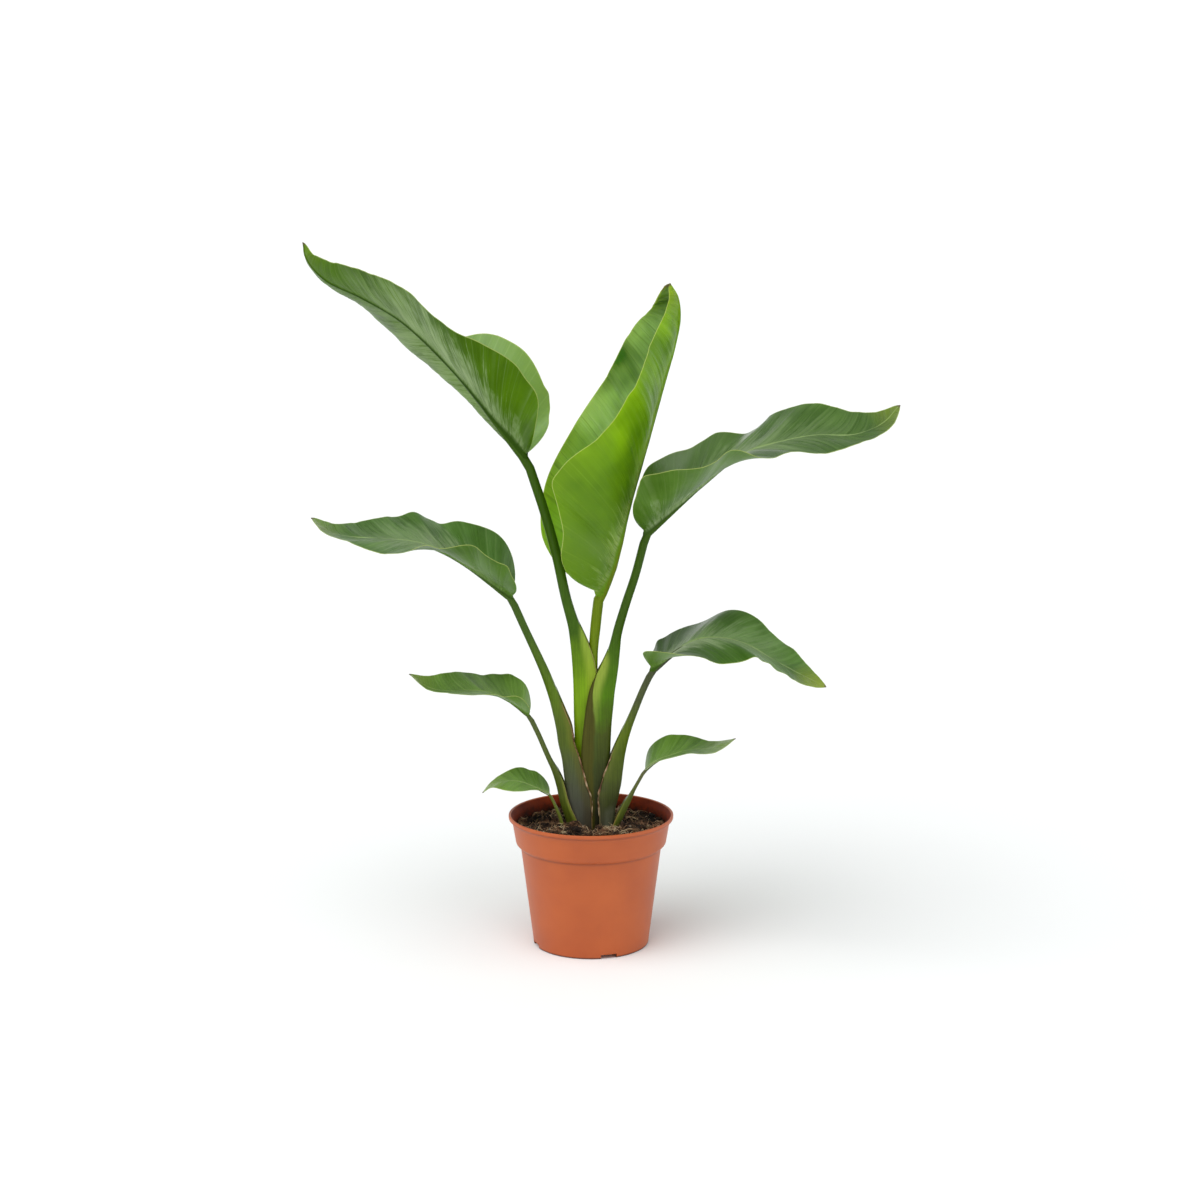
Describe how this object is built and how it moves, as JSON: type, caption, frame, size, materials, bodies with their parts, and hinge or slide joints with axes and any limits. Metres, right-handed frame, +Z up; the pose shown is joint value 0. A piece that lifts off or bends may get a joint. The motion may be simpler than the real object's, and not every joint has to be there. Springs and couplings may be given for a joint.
{
  "type": "potted bird of paradise",
  "caption": "Young bird of paradise with paddle-shaped leaves in a flat fan, growing in soil in a round tapered nursery pot with a banded rim.",
  "frame": {"origin": "middle of the footprint of the whole plant, on the surface that the pot stands on", "axes": "+Z up, the fan of leaves lies along X, and -Y is the side that the picture shows"},
  "size_m": [0.5962, 0.1974, 0.719],
  "materials": {
    "pot": "satin moulded plastic",
    "soil": "rough, crumbly",
    "rootstock": "matt",
    "leaf": "waxy, soft gloss",
    "young_leaf": "waxy, soft gloss"
  },
  "bodies": {
    "root": {"pot": "pot", "soil": "soil", "rootstock": "rootstock", "leaf_1": "leaf", "leaf_2": "young_leaf", "leaf_3": "leaf", "leaf_4": "leaf", "leaf_5": "leaf", "leaf_6": "leaf", "leaf_7": "leaf", "leaf_8": "leaf"}
  },
  "joints": []
}
